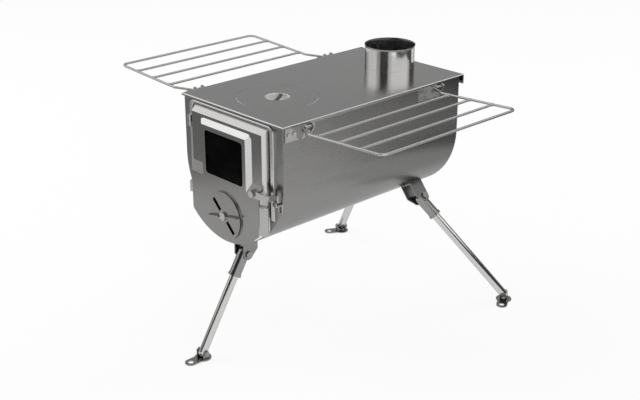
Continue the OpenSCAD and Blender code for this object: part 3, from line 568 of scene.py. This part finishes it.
def soften(node, width, crease=SHARP_ANGLE, bent=None, painted_light_and_shade=None, bold=None, bold_width=0.0):
    """Shows a copy of a CAD node with its edges rounded by width (mm) in the node's place.

    bent(face) picks the faces that get the second material, a brighter copy of the steel for
    painted highlights and a darker one for painted shade, and bold(edge) the edges that are rounded
    by bold_width, in that material. Without bold, the usual rounding has it.
    """
    source = NODES[node]
    mesh = source.data.copy()
    dress(mesh, source.data.materials[0], *([painted_light_and_shade] if painted_light_and_shade else []))
    shape = bmesh.new()
    shape.from_mesh(mesh)
    bmesh.ops.remove_doubles(shape, verts=shape.verts[:], dist=MERGE_GAP)
    bmesh.ops.dissolve_limit(
        shape, angle_limit=math.radians(FLAT_ANGLE), verts=shape.verts[:], edges=shape.edges[:])
    for face in shape.faces:
        face.smooth = True
        face.material_index = 1 if bent and bent(face) else 0
    if bold:
        weights = shape.edges.layers.float.new("bevel_weight_edge")
        for edge in shape.edges:
            if edge.is_manifold and edge.calc_face_angle() > math.radians(crease) and bold(edge):
                edge[weights] = 1.0
    shape.to_mesh(mesh)
    shape.free()
    piece = place(f"{node}_soft", mesh, source["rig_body"], node)
    if bold:
        round_edges(piece, bold_width, BOLD_SEGMENTS, 1)
    round_edges(piece, width, SOFT_SEGMENTS, 1 if painted_light_and_shade and not bold else 0, crease)
    piece.modifiers.new("flat_faces", "WEIGHTED_NORMAL")


# the second material paints highlights on the top plate's edges, the front plate's rim, the door's
# slopes and the shell's rounded edges, light in the lid's cup and shade on the collar's rim and
# flare
soften("top_plate", 0.3, painted_light_and_shade=painted_highlight_steel, bold=on_plate_edge, bold_width=1.1)
soften("front_plate", 0.3, bent=on_rim_face, painted_light_and_shade=painted_highlight_steel, bold=on_rim, bold_width=1.0)
soften("door_panel", 0.4, DOOR_ANGLE, leans, painted_highlight_steel)
soften("firebox_shell", 0.3, painted_light_and_shade=painted_highlight_steel)
soften("cooktop_lid", 0.25, bent=in_cup, painted_light_and_shade=cup_painted_light_steel)
soften("flue_collar", 0.2, bent=on_ring, painted_light_and_shade=painted_shade_steel)
PLAIN_WIDTHS = {                    # mm
    "rear_plate": 0.4, "air_dial": 0.4,
    "latch_lever": 0.6, "latch_grip": 0.6, "latch_keeper": 0.4,
    "right_shelf_brackets": 0.3, "left_shelf_brackets": 0.3,
}
for node_name, edge_width in PLAIN_WIDTHS.items():
    soften(node_name, edge_width)


# ---------- side shelves ----------

# all lengths of the shelves are in millimetres
SHELF_TILT = math.radians(2.9)
SHELF_LENGTH = 213.0                # between the bar's two arms
SHELF_REACH = 130.4                 # from the pivot to the bar's outer stretch
SHELF_RODS = (33.5, 65.8, 98.1)     # how far the welded rods lie from the pivot
CRANK = (22.0, 12.0)                # the bar's step: where it begins, and how far it runs back
PIN_END = 29.0                      # each end of the bar lies this far behind its arm
BENDS = (3, 6, 8, 8, 6, 3)          # radii of the bar's bends
WIRE_R = 1.5
ROD_R = 1.45
WELD_R = 1.95
WELD = ((0.0, WELD_R), (1.7, WELD_R), (2.6, 1.62), (3.6, ROD_R))    # distance along a rod, radius
BEND_STEPS, ROD_STEPS, TUBE_SIDES = 8, 8, 18
WIRE_ANGLE = 40.0                   # degrees; sharper edges of the wires aren't smoothed

SHELF_PIVOT = next(
    Vector(joint["pos_m"]) / MM for joint in frame["joints"] if joint["name"] == "right_shelf_fold")
SHELF_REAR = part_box("right_shelf")[1].y / MM
SHELF_FRONT = SHELF_REAR - PIN_END - SHELF_LENGTH


def fillet_path(corners, radii):
    """The corner points with round bends put in; radii belong to the inner corners."""
    path = [corners[0]]
    for before, corner, after, radius in zip(corners, corners[1:], corners[2:], radii):
        back = (before - corner).normalized()
        ahead = (after - corner).normalized()
        half = back.angle(ahead) / 2
        centre = corner + (back + ahead).normalized() * (radius / math.sin(half))
        start = corner + back * (radius / math.tan(half)) - centre
        end = corner + ahead * (radius / math.tan(half)) - centre
        for i in range(BEND_STEPS + 1):
            path.append(centre + radius * start.slerp(end, i / BEND_STEPS).normalized())
    path.append(corners[-1])
    return path


def add_tube(shape, path, radii):
    """Adds a round tube with flat ends along a path to a bmesh. radii has one value per point."""
    last = len(path) - 1
    tangents = [
        (path[min(i + 1, last)] - path[max(i - 1, 0)]).normalized() for i in range(last + 1)]
    normal = tangents[0].orthogonal().normalized()
    rings = []
    for point, tangent, radius in zip(path, tangents, radii):
        normal = (normal - tangent * normal.dot(tangent)).normalized()
        side = tangent.cross(normal)
        turns = [2 * math.pi * k / TUBE_SIDES for k in range(TUBE_SIDES)]
        rings.append([
            shape.verts.new(point + radius * (math.cos(turn) * normal + math.sin(turn) * side))
            for turn in turns])
    for a, b in zip(rings, rings[1:]):
        for k in range(TUBE_SIDES):
            after = (k + 1) % TUBE_SIDES
            shape.faces.new((a[k], a[after], b[after], b[k]))
    shape.faces.new(list(reversed(rings[0])))
    shape.faces.new(rings[-1])


def shelf_point(side, x, y):
    """A point of a shelf's tilted plane, x out from its pivot and y back from its front arm."""
    return MM * Vector((
        side * (SHELF_PIVOT.x + x * math.cos(SHELF_TILT)),
        SHELF_FRONT + y,
        SHELF_PIVOT.z + x * math.sin(SHELF_TILT),
    ))


def make_shelf(side, node, body):
    """A shelf's bent bar and welded rods in one piece. side is 1 on the right, -1 on the left."""
    corners = [
        (0, PIN_END), (0, CRANK[1]), (CRANK[0], 0), (SHELF_REACH, 0),
        (SHELF_REACH, SHELF_LENGTH), (CRANK[0], SHELF_LENGTH),
        (0, SHELF_LENGTH + CRANK[1]), (0, SHELF_LENGTH + PIN_END),
    ]
    shape = bmesh.new()
    bar = fillet_path([shelf_point(side, x, y) for x, y in corners], [r * MM for r in BENDS])
    add_tube(shape, bar, [WIRE_R * MM] * len(bar))
    for x in SHELF_RODS:
        stops = list(WELD)          # the rod's ends swell into the welds on the bar
        stops += [(SHELF_LENGTH * i / ROD_STEPS, ROD_R) for i in range(1, ROD_STEPS)]
        stops += [(SHELF_LENGTH - y, r) for y, r in reversed(WELD)]
        add_tube(shape, [shelf_point(side, x, y) for y, r in stops], [r * MM for y, r in stops])
    bmesh.ops.recalc_face_normals(shape, faces=shape.faces[:])
    mesh = bpy.data.meshes.new(f"{node}_wires")
    shape.to_mesh(mesh)
    shape.free()
    mesh.polygons.foreach_set("use_smooth", [True] * len(mesh.polygons))
    mesh.set_sharp_from_angle(angle=math.radians(WIRE_ANGLE))
    dress(mesh, wire_steel)
    place(f"{node}_wires", mesh, body, node)


make_shelf(1, "right_shelf", "right_side_shelf")
make_shelf(-1, "left_shelf", "left_side_shelf")

make_camera()
make_world()
make_studio()
scene.view_settings.view_transform = "Standard"
